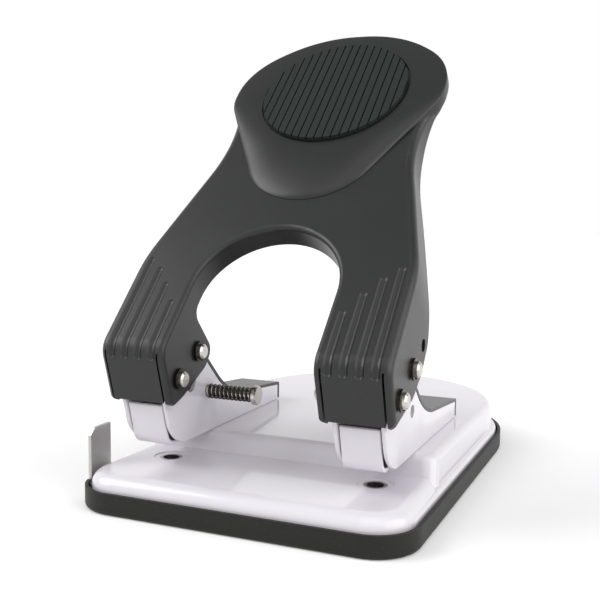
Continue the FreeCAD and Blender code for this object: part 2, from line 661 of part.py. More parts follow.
def channel_cover(side, sign):
    """Strip of sheet along the top edges of a bracket, with a lip over its rear end."""
    rear = d["bracket_rear"]
    slope_front = (d["knee_level"] - d["channel_top"]) / (d["knee_y"] - d["channel_top_y"])
    slope_rear = (d["rear_top"] - d["knee_level"]) / (rear - d["knee_y"])
    lift_front = d["cover_sheet"] * math.hypot(1, slope_front)
    lift_rear = d["cover_sheet"] * math.hypot(1, slope_rear)
    front = d["cover_front"]
    front_z = d["channel_top"] + slope_front * (front - d["channel_top_y"])
    knee_y = d["knee_y"] + (lift_front - lift_rear) / (slope_rear - slope_front)
    knee_z = d["knee_level"] + lift_rear + slope_rear * (knee_y - d["knee_y"])
    lip = rear + d["cover_sheet"]
    lip_top = d["rear_top"] + lift_rear + slope_rear * d["cover_sheet"]
    body = new_body("bracket_cover_" + side, (side_x(sign), 0, 0))
    sketch = new_sketch(body, "cover_profile_" + side, "YZ_Plane")
    polygon(sketch, [(front, front_z), ("dims.knee_y", "dims.knee_level"),
                     ("dims.bracket_rear", "dims.rear_top"), ("dims.bracket_rear", "dims.cover_lip"),
                     (lip, "dims.cover_lip"), (lip, lip_top), (knee_y, knee_z),
                     (front + d["cover_sheet"] * 0.7, front_z + d["cover_sheet"] * 0.8)])
    feature(body, "Pad", "cover_sheet_" + side, sketch, "dims.bracket_width")
    round_corners(body, "cover_knee_" + side, [("dims.knee_y", "dims.knee_level")], "dims.knee_radius")
    round_corners(body, "cover_knee_top_" + side, [(knee_y, knee_z)], "dims.knee_radius - dims.cover_sheet")
    round_corners(body, "cover_lip_bend_" + side, [(lip, lip_top)], "0.95 * dims.cover_sheet")
    keep("bracket_cover_" + side, body)


def punch_guide(side, sign):
    """Flanged bush in the channel floor that steers the punch and carries its spring."""
    under = "dims.deck_level + dims.platform_step"
    floor = under + " + dims.bracket_sheet"
    bore = "dims.punch_diameter / 2 + dims.running_clearance"
    top = floor + " + dims.guide_bore_depth - 1.6"
    profile = [(bore, under), ("dims.guide_diameter / 2", under), ("dims.guide_diameter / 2", floor),
               ("dims.punch_head / 2", floor), ("dims.punch_head / 2", top), (bore, top)]
    keep("punch_guide_" + side, turned("punch_guide_" + side, profile, (side_x(sign), 0, 0)))


def bracket_fasteners():
    """Screws through bracket floor and platform, each with a nut underneath."""
    floor = "dims.deck_level + dims.platform_step + dims.bracket_sheet"
    under = "dims.deck_level + dims.platform_step - dims.base_sheet"
    screws = []
    nuts = []
    for side, sign in sides():
        for spot in ("front", "rear"):
            tag = "_%s_%s" % (side, spot)
            place = (side_x(sign), "dims.screw_%s_y" % spot)
            head = cylinder("screw_head" + tag, "0.9 * dims.screw_diameter", "dims.screw_head",
                            place + (floor,))
            shank = cylinder("screw_shank" + tag, "dims.screw_diameter / 2", "dims.screw_length",
                             place + (floor + " - dims.screw_length",))
            screws.append(combine("Fuse", "screw" + tag, head, shank))
            hexagon = document.addObject("Part::Prism", "nut_blank" + tag)
            hexagon.Polygon = 6
            hexagon.setExpression("Circumradius", "1.01 * dims.screw_diameter")
            hexagon.setExpression("Height", "0.8 * dims.screw_diameter")
            for letter, size in zip("xyz", place + (under + " - 0.8 * dims.screw_diameter",)):
                hexagon.setExpression("Placement.Base." + letter, size)
            hole = cylinder("nut_hole" + tag, "dims.screw_diameter / 2 + dims.seat_clearance",
                            "3 * dims.screw_diameter", place + (under + " - 2 * dims.screw_diameter",))
            nuts.append(combine("Cut", "nut" + tag, hexagon, hole))
    group("bracket_screws", screws)
    group("bracket_nuts", nuts)


# ---------------------------------------------------------------- pins and clips

def pin(name, side, sign, along, up):
    """Plain pin with a clip groove near each end."""
    radius = "dims.pin_diameter / 2"
    neck = "dims.pin_diameter / 2 - dims.groove_depth"
    end = "dims.leg_half_width + dims.pin_end"
    near = "dims.leg_half_width + dims.free_clearance - dims.running_clearance"
    wide = near + " + dims.clip_sheet + 2 * dims.running_clearance"
    half = [(0, end), (radius + " - dims.pin_chamfer", end), (radius, end + " - dims.pin_chamfer"),
            (radius, wide), (neck, wide), (neck, near), (radius, near)]
    other = [(r, "-(" + str(x) + ")") for r, x in reversed(half)]
    label = "%s_pin_%s" % (name, side)
    keep(label, turned(label, half + other, (side_x(sign), along, up), along_x=True))


def clips(name, along, up):
    """Open retaining rings in the pin grooves."""
    rings = []
    for side, sign in sides():
        for end in (-1, 1):
            tag = "%s_clip_%s_%s" % (name, side, "outer" if end == sign else "inner")
            gap = "(dims.leg_half_width + dims.free_clearance)"
            start = gap if end > 0 else "-%s - dims.clip_sheet" % gap
            x = "%s + %s" % (side_x(sign), start)
            disc = cylinder(tag + "_disc", "dims.clip_diameter / 2", "dims.clip_sheet", (x, along, up), True)
            bore = cylinder(tag + "_bore", "dims.pin_diameter / 2 - dims.groove_depth + dims.seat_clearance",
                            "dims.clip_sheet", (x, along, up), True)
            mouth = block(tag + "_mouth", ("dims.clip_sheet", "dims.pin_diameter / 2", "dims.clip_diameter"),
                          (x, "(%s) - dims.pin_diameter / 4" % along, "(%s) - dims.clip_diameter" % up))
            ring = combine("Cut", tag + "_ring", disc, bore)
            rings.append(combine("Cut", tag, ring, mouth))
    group(name + "_clips", rings)


def pins_and_clips():
    """Pivot pins stay in the brackets; drive pins travel with the lever."""
    drive_y = "dims.drive_radius * cos(dims.drive_angle * 1 deg) - dims.pivot_y"
    drive_z = "dims.pivot_z + dims.drive_radius * sin(dims.drive_angle * 1 deg)"
    for side, sign in sides():
        pin("pivot", side, sign, "-dims.pivot_y", "dims.pivot_z")
        pin("drive", side, sign, drive_y, drive_z)
    clips("pivot", "-dims.pivot_y", "dims.pivot_z")
    clips("drive", drive_y, drive_z)


# ---------------------------------------------------------------- punches

def punch(side, sign):
    """Hardened punch: hollow-ground shank and a head with a cross slot for the drive pin."""
    shank = "dims.punch_diameter / 2"
    head = "dims.punch_head / 2"
    drive_z = "dims.pivot_z + dims.drive_radius * sin(dims.drive_angle * 1 deg)"
    low = drive_z + " - dims.head_height / 2"
    high = drive_z + " + dims.head_height / 2"
    profile = [(0, "dims.punch_rest + 0.9"), (shank, "dims.punch_rest"), (shank, low), (head, low),
               (head, high), (0, high)]
    body = turned("punch_" + side, profile, (side_x(sign), 0, 0))
    nearest = "dims.drive_radius * cos(dims.drive_angle * 1 deg) - dims.pivot_y"
    gap = "(dims.pin_diameter / 2 + dims.free_clearance)"
    sketch = new_sketch(body, "cross_slot_" + side, "YZ_Plane")
    corners = [(nearest + " - " + gap, drive_z + " - " + gap), (gap, drive_z + " - " + gap),
               (gap, drive_z + " + " + gap), (nearest + " - " + gap, drive_z + " + " + gap)]
    polygon(sketch, corners)
    feature(body, "Pocket", "cross_slot_cut_" + side, sketch, "2 * dims.punch_head")
    round_corners(body, "cross_slot_ends_" + side, corners, "0.9 * " + gap)
    keep("punch_" + side, body)


def coil(name, body, radius, wire, pitch, height):
    """A round-wire helix about the body's Z axis."""
    sketch = new_sketch(body, name + "_wire", "XZ_Plane")
    circle(sketch, radius, "0.5 * %s" % wire, "0.5 * %s" % wire)
    helix = body.newObject("PartDesign::AdditiveHelix", name + "_coil")
    helix.Profile = sketch
    helix.ReferenceAxis = (sketch, ["V_Axis"])
    helix.Mode = "pitch-height-angle"
    helix.setExpression("Pitch", str(pitch))
    helix.setExpression("Height", str(height))
    helix.Growth = 0
    sketch.Visibility = False
    document.recompute()
    keep(name, body)


def punch_spring(side, sign):
    """Return spring between the guide bush and the punch head."""
    seat = "dims.deck_level + dims.platform_step + dims.bracket_sheet + dims.guide_bore_depth - 1.6"
    top = "dims.pivot_z + dims.drive_radius * sin(dims.drive_angle * 1 deg) - dims.head_height / 2"
    height = "(%s) - (%s) - dims.spring_wire - 0.1" % (top, seat)
    body = new_body("punch_spring_" + side, (side_x(sign), 0, seat + " + 0.05"))
    coil("punch_spring_" + side, body, "dims.spring_diameter / 2", "dims.spring_wire",
         "(%s) / 6" % height, height)


# ---------------------------------------------------------------- lock

def lock():
    """Spring-loaded plunger that holds the lever down for storage."""
    wall = "-dims.hole_spacing / 2 + dims.bracket_width / 2"
    face = wall + " - dims.bracket_sheet"
    neck_end = face + " - dims.free_clearance"
    rod = "dims.lock_rod / 2"
    neck = rod + " - 0.5"
    head_back = wall + " + dims.lock_reach - dims.lock_head_length"
    face_x = wall + " + dims.lock_reach"
    tip = "-dims.hole_spacing / 2 - dims.bracket_width / 2 - 0.5"
    profile = [(0, tip), (rod + " - 0.5", tip), (rod, tip + " + 0.6"), (rod, neck_end + " - 0.8"),
               (neck, neck_end + " - 0.8"), (neck, neck_end), (rod, neck_end), (rod, head_back),
               ("dims.lock_head / 2", head_back), ("dims.lock_head / 2", face_x + " - 0.4"),
               ("dims.lock_head / 2 - 0.4", face_x), (0, face_x)]
    keep("lock_plunger", turned("lock_plunger", profile, (0, "dims.lock_y", "dims.lock_z"), along_x=True))
    clip_x = neck_end + " - 0.75"
    disc = cylinder("lock_clip_disc", "dims.lock_rod / 2 + 1.5", "dims.clip_sheet",
                    (clip_x, "dims.lock_y", "dims.lock_z"), True)
    bore = cylinder("lock_clip_bore", neck + " + dims.seat_clearance", "dims.clip_sheet",
                    (clip_x, "dims.lock_y", "dims.lock_z"), True)
    mouth = block("lock_clip_mouth", ("dims.clip_sheet", "dims.lock_rod / 2", "dims.lock_rod * 2"),
                  (clip_x, "dims.lock_y - dims.lock_rod / 4", "dims.lock_z"))
    ring = combine("Cut", "lock_clip_ring", disc, bore)
    keep("lock_clip", combine("Cut", "lock_clip", ring, mouth))
    quarter = FreeCAD.Rotation(Vector(0, 1, 0), 90)
    spring = new_body("lock_spring", (wall + " + 0.05", "dims.lock_y", "dims.lock_z"), quarter)
    height = "dims.lock_reach - dims.lock_head_length - dims.lock_wire - 0.1"
    coil("lock_spring", spring, "dims.lock_coil / 2", "dims.lock_wire", "(%s) / 11" % height, height)


# ---------------------------------------------------------------- lever

def leg_edge():
    """Outer face of the outer flanges."""
    return d["hole_spacing"] / 2 + d["leg_half_width"]


def handle_outline(inset):
    """The handle plate seen square on: straight legs, waisted neck and oval head."""
    legs = leg_edge() - inset
    neck = d["neck_half_width"] - 2.7 - inset
    top = d["head_end"] - inset
    # the bends sit at fixed shares of the handle's length; the slopes follow from them
    return mirrored_outline([
        (legs, -60.0, 0.0),
        (legs, 0.25 * d["head_end"], 60.0),
        (neck, 0.623 * d["head_end"], 72.0 + inset),
        (47.8 - 1.4 * inset, 0.8545 * d["head_end"], 31.4 - inset),
        (18.2 - 0.35 * inset, top, 48.0 - inset),
    ])


def arch_outline(grow):
    """The arch between the legs: open below, round above."""
    half = d["hole_spacing"] / 2 - d["leg_half_width"] + grow
    top = d["arch_centre"] + half
    return [(half, -70.0, 0.0), (half, top, half), (-half, top, half), (-half, -70.0, 0.0)]


def flap_corner(inset):
    """Where the handle plate and the front flap would meet without their bend."""
    return inset * math.tan(math.radians(d["flap_lean"]) / 2), d["plate_height"] - inset


def flap_foot(drop):
    """A point of the front flap's outer face at a depth below the pivot axis."""
    return -(d["plate_height"] + drop) / math.tan(math.radians(d["flap_lean"])), -drop


def handle_side():
    """Side view of the whole lever: plate, front flap and the lower edge of the outer flanges."""
    front_u, front_n = flap_corner(0.0)
    foot_u, foot_n = flap_foot(1.1 * d["flap_drop"])
    return [(200.0, front_n, 0.0), (front_u, front_n, d["front_bend"]), (foot_u, foot_n, 1.5),
            (-8.4, -4.7, 1.5), (8.5, -14.4, 14.0), (20.0, -16.8, 9.0), (32.0, -15.8, 9.0),
            (47.0, -6.4, 6.0), (68.0, -5.6, 25.0), (104.0, 2.8, 20.0), (122.0, 8.6, 10.0), (200.0, 8.6, 0.0)]


def hollow_side(inset):
    """Side view of the room behind the plate and the flap, open to the rear."""
    front_u, front_n = flap_corner(inset)
    deep = 60.0
    foot_u = front_u - (front_n + deep) / math.tan(math.radians(d["flap_lean"]))
    return [(220.0, front_n, 0.0), (front_u, front_n, d["front_bend"] - inset),
            (foot_u, -deep, 0.0), (220.0, -deep, 0.0)]


def inner_flange_waste():
    """What the inner flanges and the arch flange leave out of the outer side view."""
    depth = d["plate_height"] - d["arch_flange"]
    return [(150.0, depth, 0.0), (23.0, depth, 4.5), (21.6, -11.6, 4.0), (14.0, -12.4, 6.0),
            (-8.4, -4.7, 0.5), (-8.4, -60.0, 0.0), (150.0, -60.0, 0.0)]


def lever_blank():
    """The outside of the lever as a lump, with rounded rims outside and round the arch."""
    tall = 120.0
    plan = flat_prism(handle_outline(0.0), -tall, tall)
    arch = flat_prism(arch_outline(0.0), -tall, tall)
    lump = side_prism(handle_side(), 70.0).common(plan).cut(arch)
    half_arch = d["hole_spacing"] / 2 - d["leg_half_width"]
    outer = []
    for edge in lump.Edges:
        at_middle = (edge.FirstParameter + edge.LastParameter) / 2
        middle = edge.valueAt(at_middle)
        on_face = middle.z > d["plate_height"] - 0.01 or (middle.y < 4.5 and middle.z > -0.5)
        if not on_face or abs(edge.tangentAt(at_middle).x) > 0.999 and middle.y < 30.0:
            continue
        from_arch = math.hypot(middle.x, max(middle.y - d["arch_centre"], 0.0)) - half_arch
        if from_arch > 0.1 and (middle.y > 4.5 or abs(middle.x) > leg_edge() - 0.1):
            outer.append(edge)
    lump = lump.makeFillet(d["rim_radius"], outer)
    return round_arch(lump, half_arch)


def round_arch(lump, half_arch):
    """Rounds the edge of the arch on the plate, the bend and the flap."""
    picked = []
    for edge in lump.Edges:
        middle = edge.valueAt((edge.FirstParameter + edge.LastParameter) / 2)
        from_arch = math.hypot(middle.x, max(middle.y - d["arch_centre"], 0.0)) - half_arch
        on_face = middle.z > d["plate_height"] - 0.01 or (middle.y < 4.5 and middle.z > -0.5)
        if on_face and abs(from_arch) < 1e-3:
            picked.append(edge)
    return lump.makeFillet(d["arch_radius"], picked)


def lever():
    """Pressed steel handle: two flanged legs, an arch between them, flutes and an oval head."""
    thick = d["lever_sheet"]
    lump = lever_blank()
    hollow = flat_prism(handle_outline(thick), -120.0, 120.0)
    hollow = hollow.cut(flat_prism(arch_outline(thick), -130.0, 130.0))
    hollow = hollow.common(side_prism(hollow_side(thick), 65.0))
    shell = lump.cut(hollow)
    half_inner = d["hole_spacing"] / 2 - d["leg_half_width"] + thick + 0.2
    shell = shell.cut(side_prism(inner_flange_waste(), half_inner))
    half_flap = d["leg_half_width"] - thick
    slit_top = d["plate_height"] - d["arch_radius"]
    for _, sign in sides():
        x = sign * d["hole_spacing"] / 2
        below = Part.makeBox(2 * half_flap, 12.0, 40.0, Vector(x - half_flap, -14.0, -40.0 - d["flap_drop"]))
        shell = shell.cut(below)
        for start in (x - half_flap, x + half_flap - d["slit_width"]):
            slit = Part.makeBox(d["slit_width"], 18.0, 40.0, Vector(start, -14.0, slit_top - 40.0))
            shell = shell.cut(slit)
    for tool in flutes() + lever_holes():
        shell = shell.cut(tool)
    shaped("lever", shell, lever_placement())
    return lump


def flutes():
    """Ball-nosed cutters for the flutes that run down each leg and round the front bend."""
    radius = d["flute_radius"]
    axis_height = d["plate_height"] + radius - d["flute_depth"]
    bend_start = d["front_bend"] * math.tan(math.radians(d["flap_lean"]) / 2)
    turn = 0.78 * d["flap_lean"]
    swing = math.radians(turn)
    reach = axis_height - d["plate_height"] + d["front_bend"]
    tools = []
    # the flutes get longer from the arch side to the outer side of each leg
    tops = (0.123, 0.170, 0.210, 0.237)
    for _, sign in sides():
        for index, share in enumerate(tops):
            x = sign * (d["hole_spacing"] / 2 + (index - 1.5) * d["flute_pitch"])
            low = Vector(x, bend_start, axis_height)
            high = Vector(x, share * d["head_end"], axis_height + 0.3 * d["flute_depth"])
            bend_centre = low - Vector(0, 0, reach)
            end = bend_centre + Vector(0, -math.sin(swing), math.cos(swing)) * reach
            section = Part.Face(Part.Wire(Part.makeCircle(radius, low, Vector(0, 1, 0))))
            run = Part.makeCylinder(radius, low.distanceToPoint(high), low, high - low)
            tools += [run, section.revolve(bend_centre, X_AXIS, turn), Part.makeSphere(radius, high),
                      Part.makeSphere(radius, end)]
    return tools


def lever_holes():
    """Bores for the pins and the lock, and for the pegs of the palm cap."""
    tools = []
    pivot = d["pin_diameter"] / 2 + d["running_clearance"]
    tools.append(Part.makeCylinder(pivot, FAR, Vector(-FAR / 2, 0, 0), X_AXIS))
    angle = math.radians(d["drive_angle"] - d["lever_tilt"])
    spot = Vector(-FAR / 2, d["drive_radius"] * math.cos(angle), d["drive_radius"] * math.sin(angle))
    tools.append(Part.makeCylinder(d["pin_diameter"] / 2 + d["seat_clearance"], FAR, spot, X_AXIS))
    reach = math.hypot(d["lock_y"] + d["pivot_y"], d["lock_z"] - d["pivot_z"])
    angle = math.atan2(d["lock_z"] - d["pivot_z"], d["lock_y"] + d["pivot_y"])
    angle += math.radians(d["lever_swing"] - d["lever_tilt"])
    for _, sign in sides():
        inside = sign * (leg_edge() - 2 * d["lever_sheet"])
        start = Vector(inside, reach * math.cos(angle), reach * math.sin(angle))
        tools.append(Part.makeCylinder(d["lock_hole"] / 2, 20.0, start, X_AXIS * sign))
    for place in peg_places():
        peg_hole = d["peg_diameter"] / 2 + d["running_clearance"]
        tools.append(Part.makeCylinder(peg_hole, 40.0, Vector(0, place, 0)))
    return tools


def peg_places():
    """Two pegs hold the palm cap to the handle plate."""
    return (d["pad_centre"] - d["peg_low"], d["pad_centre"] + d["peg_high"])


def lever_placement():
    """The lever tipped back about the pivot pin."""
    pivot = Vector(0, -d["pivot_y"], d["pivot_z"])
    return FreeCAD.Placement(pivot, FreeCAD.Rotation(X_AXIS, d["lever_tilt"]))


def cap_outline():
    """The palm cap seen square on: a rounded nose below, the oval of the head above."""
    wide = d["head_half_width"] + d["cap_overlap"]
    tall = d["head_end"]
    top = tall + d["cap_overlap"]
    return [(0.0, 0.243 * tall, 27.0), (wide, 0.743 * tall, 20.0), (wide, 0.875 * tall, 31.0),
            (0.413 * wide, top, 47.0), (-0.413 * wide, top, 47.0), (-wide, 0.875 * tall, 31.0),
            (-wide, 0.743 * tall, 20.0)]


def palm_cap(lump):
    """Moulded palm rest over the head, domed, its rim lapping the rounded edge of the steel."""
    low = d["plate_height"] - d["rim_radius"]
    high = d["plate_height"] + d["cap_thickness"]
    cap = flat_prism(cap_outline(), low, high + 2 * d["cap_crown"])
    dome_centre = Vector(0, d["pad_centre"], high + d["cap_crown"] - d["cap_dome"])
    cap = cap.common(Part.makeSphere(d["cap_dome"], dome_centre))
    top = [face for face in cap.Faces if isinstance(face.Surface, Part.Sphere)][0]
    cap = cap.makeFillet(d["cap_rounding"], top.Edges)
    cap = cap.cut(lump)
    seat_floor = high - d["pad_sunk"]
    seat_radius = d["pad_diameter"] / 2 + d["running_clearance"]
    cap = cap.cut(Part.makeCylinder(seat_radius, FAR, Vector(0, d["pad_centre"], seat_floor)))
    foot = d["plate_height"] - d["lever_sheet"] - d["peg_end"]
    for place in peg_places():
        cap = cap.fuse(Part.makeCylinder(d["peg_diameter"] / 2, seat_floor - foot, Vector(0, place, foot)))
    shaped("palm_cap", cap, lever_placement())
    pad = Part.makeCylinder(d["pad_diameter"] / 2, d["pad_sunk"] + d["pad_proud"],
                            Vector(0, d["pad_centre"], seat_floor))
    pad = pad.makeFillet(d["pad_edge"], edges_at_height(pad, high + d["pad_proud"]))
    shaped("palm_pad", pad, lever_placement())


# ---------------------------------------------------------------- build

base_plate()
chip_tray()
dies()
gauge()
gauge_guide()
for side_name, side_sign in sides():
    bracket(side_name, side_sign)
    channel_cover(side_name, side_sign)
    punch_guide(side_name, side_sign)
    punch(side_name, side_sign)
    punch_spring(side_name, side_sign)
bracket_fasteners()
pins_and_clips()
lock()
palm_cap(lever())
document.recompute()

for piece in document.Objects:
    if "Invalid" in piece.State or "Error" in piece.State:
        raise RuntimeError("%s did not recompute: %s" % (piece.Name, piece.State))
for label, piece in nodes.items():
    if piece.Shape.isNull() or not piece.Shape.isValid():
        raise RuntimeError("%s has no valid shape" % label)

os.makedirs("parts", exist_ok=True)
for label, piece in nodes.items():
    piece.Shape.exportStep("parts/%s.step" % label)
    print("%-22s solids %d volume %.1f" % (label, len(piece.Shape.Solids), piece.Shape.Volume))
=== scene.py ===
import json
import math

import bmesh
import bpy
from mathutils import Matrix, Vector


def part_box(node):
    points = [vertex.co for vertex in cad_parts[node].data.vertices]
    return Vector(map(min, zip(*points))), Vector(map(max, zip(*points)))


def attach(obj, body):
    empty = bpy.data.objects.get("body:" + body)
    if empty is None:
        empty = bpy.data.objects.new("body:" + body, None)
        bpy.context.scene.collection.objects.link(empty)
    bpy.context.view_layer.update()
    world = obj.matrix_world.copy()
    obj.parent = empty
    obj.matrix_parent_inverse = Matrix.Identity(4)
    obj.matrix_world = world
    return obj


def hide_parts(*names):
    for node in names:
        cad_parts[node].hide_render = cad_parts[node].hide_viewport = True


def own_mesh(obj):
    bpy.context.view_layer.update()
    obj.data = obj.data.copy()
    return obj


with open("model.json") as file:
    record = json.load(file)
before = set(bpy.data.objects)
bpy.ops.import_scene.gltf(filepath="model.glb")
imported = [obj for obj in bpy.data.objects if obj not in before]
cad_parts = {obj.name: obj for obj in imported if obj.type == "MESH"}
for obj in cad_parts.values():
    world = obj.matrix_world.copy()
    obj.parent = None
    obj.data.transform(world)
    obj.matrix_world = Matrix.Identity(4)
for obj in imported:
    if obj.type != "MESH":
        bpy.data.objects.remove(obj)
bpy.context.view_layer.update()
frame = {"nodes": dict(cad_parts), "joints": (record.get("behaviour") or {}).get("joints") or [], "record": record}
joints = {joint["name"]: joint for joint in frame["joints"]}

MM = 0.001

# the lever's own frame: origin on the pivot axis, y up the handle, z out of its face
PIVOT = Vector(joints["lever_hinge"]["pos_m"])
LEVER_SWING = math.radians(joints["lever_hinge"]["range_deg"][1])
LEVER_TILT = math.radians(46.0)
LEVER_FRAME = Matrix.Translation(PIVOT) @ Matrix.Rotation(LEVER_TILT, 4, "X")

# the lever's steel, in its own frame
PLATE_FACE = 16.6 * MM       # height of the handle's flat face
PLATE_RIM = 3.0 * MM         # radius of the face's rounded edge
HANDLE_END = 167.0 * MM
BEND_START = 4.7124 * MM     # where the straight flutes run into the front bend
FIN_SLACK = 0.05 * MM        # the fins lie within this of the bend's start
FLUTE_REACH = 1.2 * MM       # a little more than the flutes are deep

# the palm rest, in the lever's own frame
CAP_FACE = 19.9 * MM
CAP_LIP = 0.5 * MM           # edge of the nose above the steel
CAP_CROWN = 0.4 * MM         # rise from the rim to the face round the head
CAP_CORNER = 0.4 * MM        # size of the rim's softened corner
CAP_LEAN = math.radians(2.2)
PAD_CENTRE = 129.2 * MM
PAD_RADIUS = 29.7 * MM
PAD_TOP = 21.2 * MM
PAD_RIM = ((0.25 * MM, 0.5 * MM), (0.35 * MM, 0.2 * MM))       # inset and rise of each rim step
PAD_RISE = sum(rise for inset, rise in PAD_RIM)

# the brackets
BRACKET_SHEET = 1.6 * MM
WALL_SOFTNESS = 0.65 * MM
FLAP_SOFTNESS = 0.5 * MM
FLOOR_SOFTNESS = 0.1 * MM
FLAP_WIDTH = 13.9 * MM
FLAP_FOOT = -13.4 * MM
FLAP_HEAD = -17.8 * MM
FLAP_TOP = 36.6 * MM
FLOOR_START = -5.3 * MM      # where the flap's curl ends and the flat floor begins
PIVOT_BORE = 2.77 * MM
LOCK_BORE = 2.3 * MM
PUNCH_BORE = 4.82 * MM
SCREW_BORE = 2.02 * MM
SCREW_PLACES = (36.0 * MM, 62.0 * MM)
DRIVE_REACH = 15.5 * MM      # drive pin from the pivot
DRIVE_ANGLE = math.radians(30.0)
SLOT_HALF = 3.05 * MM

# the light
SKY_LIGHT = 0.42
HORIZON_GLOSS = 1.0
CEILING_GLOSS = 0.35
HORIZON_HEIGHT = 0.2         # heights on a unit sphere
CEILING_HEIGHT = 0.85
FLOOR_GLOW = 0.15


# ---------------------------------------------------------------- shader helpers

def tint(code):
    """A hex colour as linear red, green, blue and alpha."""
    parts = [int(code[i:i + 2], 16) / 255 for i in (1, 3, 5)]
    return tuple(((c + 0.055) / 1.055) ** 2.4 if c > 0.04045 else c / 12.92 for c in parts) + (1.0,)


class Graph:
    """A node tree with short calls to add nodes and links."""

    def __init__(self, tree):
        self.tree = tree

    def add(self, kind, **settings):
        """A new node with some of its settings given."""
        node = self.tree.nodes.new(kind)
        for name, value in settings.items():
            setattr(node, name, value)
        return node

    def link(self, source, target):
        """Join an output to an input."""
        self.tree.links.new(source, target)

    def feed(self, socket, value):
        """Link an output to a socket, or set the socket's own value."""
        if isinstance(value, bpy.types.NodeSocket):
            self.link(value, socket)
        else:
            socket.default_value = value

    def math(self, operation, first, second=0.0, third=0.0):
        """The result of a sum on outputs or numbers."""
        node = self.add("ShaderNodeMath", operation=operation)
        for socket, value in zip(node.inputs, (first, second, third)):
            self.feed(socket, value)
        return node.outputs[0]

    def ramp(self, value, low, high, to_low=0.0, to_high=1.0):
        """A smooth step from one level to another."""
        node = self.add("ShaderNodeMapRange", interpolation_type="SMOOTHSTEP")
        for socket, level in zip(node.inputs, (value, low, high, to_low, to_high)):
            self.feed(socket, level)
        return node.outputs[0]

    def noise(self, vector, scale, detail=2.0, roughness=0.5):
        """Noise between 0 and 1."""
        node = self.add("ShaderNodeTexNoise")
        self.feed(node.inputs["Vector"], vector)
        self.feed(node.inputs["Scale"], scale)
        self.feed(node.inputs["Detail"], detail)
        self.feed(node.inputs["Roughness"], roughness)
        return node.outputs["Fac"]

    def mix(self, factor, first, second, blend="MIX"):
        """A blend of two colours."""
        node = self.add("ShaderNodeMix", data_type="RGBA", blend_type=blend)
        self.feed(node.inputs[0], factor)
        self.feed(node.inputs[6], first)
        self.feed(node.inputs[7], second)
        return node.outputs[2]

    def swing(self, wave, amount, middle):
        """A level that noise moves up and down about its middle."""
        return self.math("MULTIPLY_ADD", self.math("SUBTRACT", wave, 0.5), amount, middle)


def new_group(name, inputs, outputs):
    """An empty shader group with named sockets; returns its tree, a graph on it and its two ends."""
    tree = bpy.data.node_groups.new(name, "ShaderNodeTree")
    for label, kind, value in inputs:
        socket = tree.interface.new_socket(name=label, in_out="INPUT", socket_type=kind)
        socket.default_value = value
    for label, kind in outputs:
        tree.interface.new_socket(name=label, in_out="OUTPUT", socket_type=kind)
    graph = Graph(tree)
    return tree, graph, graph.add("NodeGroupInput").outputs, graph.add("NodeGroupOutput").inputs


def make_coat_group():
    """Sprayed or moulded surface: slow colour drift, fine grain and a little dust."""
    drift_scale, dust_scale = 45.0, 2600.0
    dust_start, dust_full = 0.66, 0.74
    dust_colour = (0.6, 0.59, 0.57, 1)
    tree, g, inside, out = new_group(
        "coated_surface",
        [("Colour", "NodeSocketColor", (0.5, 0.5, 0.5, 1)), ("Drift", "NodeSocketFloat", 0.1),
         ("Grain Scale", "NodeSocketFloat", 900.0), ("Grain", "NodeSocketFloat", 0.1),
         ("Roughness", "NodeSocketFloat", 0.4), ("Spread", "NodeSocketFloat", 0.06),
         ("Dust", "NodeSocketFloat", 0.02)],
        [("Colour", "NodeSocketColor"), ("Roughness", "NodeSocketFloat"), ("Height", "NodeSocketFloat")])
    place = g.add("ShaderNodeTexCoord").outputs["Object"]
    slow = g.noise(place, drift_scale, 3.0)
    fine = g.noise(place, inside["Grain Scale"], 2.0, 0.6)
    speck = g.ramp(g.noise(place, dust_scale, 1.0), dust_start, dust_full)
    shade = g.swing(slow, inside["Drift"], 1.0)
    grey = g.add("ShaderNodeCombineColor")
    for socket in grey.inputs[:3]:
        g.link(shade, socket)
    drifted = g.mix(1.0, inside["Colour"], grey.outputs[0], "MULTIPLY")
    g.link(g.mix(g.math("MULTIPLY", speck, inside["Dust"]), drifted, dust_colour), out["Colour"])
    rough = g.swing(slow, inside["Spread"], inside["Roughness"])
    g.link(g.swing(fine, inside["Spread"], rough), out["Roughness"])
    g.link(g.math("MULTIPLY", fine, inside["Grain"]), out["Height"])
    return tree


def make_metal_group():
    """Bare metal: brushed lines along one axis and slow stain."""
    stain_scale = 160.0
    stain_start, stain_full = 0.45, 0.75
    stain_colour = (0.12, 0.11, 0.1, 1)
    roughness_swing = 0.25
    tree, g, inside, out = new_group(
        "bare_metal",
        [("Colour", "NodeSocketColor", (0.5, 0.5, 0.5, 1)), ("Stretch", "NodeSocketVector", (1, 1, 1)),
         ("Line Scale", "NodeSocketFloat", 600.0), ("Lines", "NodeSocketFloat", 0.1),
         ("Roughness", "NodeSocketFloat", 0.25), ("Stain", "NodeSocketFloat", 0.15)],
        [("Colour", "NodeSocketColor"), ("Roughness", "NodeSocketFloat"), ("Height", "NodeSocketFloat")])
    place = g.add("ShaderNodeTexCoord").outputs["Object"]
    stretched = g.add("ShaderNodeVectorMath", operation="MULTIPLY")
    g.link(place, stretched.inputs[0])
    g.link(inside["Stretch"], stretched.inputs[1])
    lines = g.noise(stretched.outputs[0], inside["Line Scale"], 3.0, 0.7)
    slow = g.noise(place, stain_scale, 2.0)
    dark = g.math("MULTIPLY", g.ramp(slow, stain_start, stain_full), inside["Stain"])
    g.link(g.mix(dark, inside["Colour"], stain_colour), out["Colour"])
    g.link(g.swing(lines, roughness_swing, inside["Roughness"]), out["Roughness"])
    g.link(g.math("MULTIPLY", lines, inside["Lines"]), out["Height"])
    return tree


COAT_GROUP = make_coat_group()
METAL_GROUP = make_metal_group()


# ---------------------------------------------------------------- finishes

